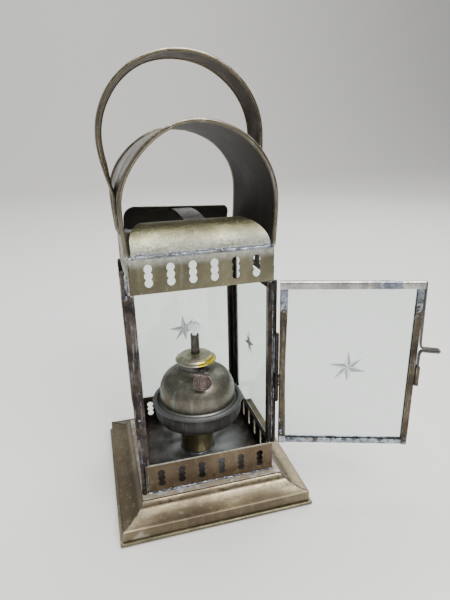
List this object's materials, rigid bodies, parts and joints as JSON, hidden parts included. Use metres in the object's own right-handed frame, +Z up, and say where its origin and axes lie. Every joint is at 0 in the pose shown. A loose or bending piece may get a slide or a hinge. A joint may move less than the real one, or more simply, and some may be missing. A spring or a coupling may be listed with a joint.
{
  "type": "hinged-door table lantern",
  "caption": "Square glazed brass table lantern with pierced bands, arched canopy, strap handle and a side-hung latched door, holding a small oil lamp with a wick winder.",
  "frame": {"origin": "centre of the base's underside", "axes": "+Z up; the doorway faces -Y; the door's hinge is at +X, and the door stands open at rest"},
  "size_m": [0.2395, 0.1662, 0.3341],
  "materials": {
    "aged_brass": "worn olive patina, satin",
    "brown_brass": "brown patina, satin",
    "soldered_brass": "grey solder film over brass",
    "sooty_brass": "soot-blackened, matte",
    "tarnished_brass": "dark tarnish, semi-gloss",
    "pewter_grey": "worn dark grey, satin",
    "coppery_brass": "coppery brown tarnish",
    "steel": "dull grey",
    "clear_glass": "clear, lightly scratched",
    "cotton_wick": "matte white cotton"
  },
  "bodies": {
    "lantern": {"base_bottom_plate": "brown_brass", "floor_plate": "sooty_brass", "base_moulding_front": "brown_brass", "base_moulding_right": "brown_brass", "base_moulding_back": "brown_brass", "base_moulding_left": "brown_brass", "lower_band_front": "brown_brass", "lower_band_right": "brown_brass", "lower_band_back": "brown_brass", "lower_band_left": "brown_brass", "upper_band_front": "aged_brass", "upper_band_right": "aged_brass", "upper_band_back": "aged_brass", "upper_band_left": "aged_brass", "post_front_right": "brown_brass", "post_front_left": "brown_brass", "post_back_right": "sooty_brass", "post_back_left": "sooty_brass", "edge_rod_front_right": "brown_brass", "edge_rod_front_left": "brown_brass", "post_gusset": "sooty_brass", "glass_right": "clear_glass", "glass_left": "clear_glass", "glass_back": "clear_glass", "canopy": "sooty_brass", "hood_front": "aged_brass", "hood_back": "sooty_brass", "hood_bridge": "soldered_brass", "handle": "aged_brass", "hinge_knuckle_lower": "brown_brass", "hinge_knuckle_upper": "brown_brass", "hinge_pin": "steel", "lamp_pedestal": "tarnished_brass", "lamp_cup": "pewter_grey"},
    "door": {"door_stile_hinge": "brown_brass", "door_stile_latch": "brown_brass", "door_rail_top": "soldered_brass", "door_rail_bottom": "brown_brass", "door_glass": "clear_glass", "hinge_knuckle_door": "brown_brass"},
    "latch": {"latch_spring": "soldered_brass", "latch_keeper": "brown_brass"},
    "font": {"oil_font": "tarnished_brass", "font_collar": "tarnished_brass"},
    "burner_thread": {"burner_thread_skirt": "tarnished_brass"},
    "burner": {"burner_body": "tarnished_brass", "burner_cap": "aged_brass", "wick_tube": "tarnished_brass"},
    "winder": {"winder_spindle": "steel", "winder_wheel": "aged_brass", "winder_knob": "coppery_brass"},
    "wick": {"wick": "cotton_wick"}
  },
  "joints": [
    {"name": "door_hinge", "type": "hinge", "parent": "lantern", "child": "door", "pos_m": [0.0519, -0.0523, 0.115], "axis": [0, 0, 1], "range_deg": [-161.1, 15]},
    {"name": "latch_flex", "type": "hinge", "parent": "door", "child": "latch", "pos_m": [0.14917, -0.08455, 0.179], "axis": [-0.3239, -0.9461, 0], "range_deg": [0, 3], "stiffness_Nm_per_rad": 0.2},
    {"name": "font_lift", "type": "slide", "parent": "lantern", "child": "font", "axis": [0, 0, 1], "range_m": [0, 0.03]},
    {"name": "burner_rise", "type": "slide", "parent": "font", "child": "burner_thread", "axis": [0, 0, 1], "range_m": [0, 0.006]},
    {"name": "burner_turn", "type": "hinge", "parent": "burner_thread", "child": "burner", "pos_m": [0.001, -0.0002, 0.1], "axis": [0, 0, 1], "range_deg": [0, 1440]},
    {"name": "winder_turn", "type": "hinge", "parent": "burner", "child": "winder", "pos_m": [0.00636, -0.00144, 0.1008], "axis": [-0.225, -0.9744, 0], "range_deg": [-150, 0]},
    {"name": "wick_slide", "type": "slide", "parent": "burner", "child": "wick", "axis": [0, 0, 1], "range_m": [0, 0.0079]}
  ],
  "couplings": [
    {"joint": "burner_rise", "follows": "burner_turn", "m_per_rad": 0.00023873},
    {"joint": "wick_slide", "follows": "winder_turn", "m_per_rad": -0.003}
  ]
}
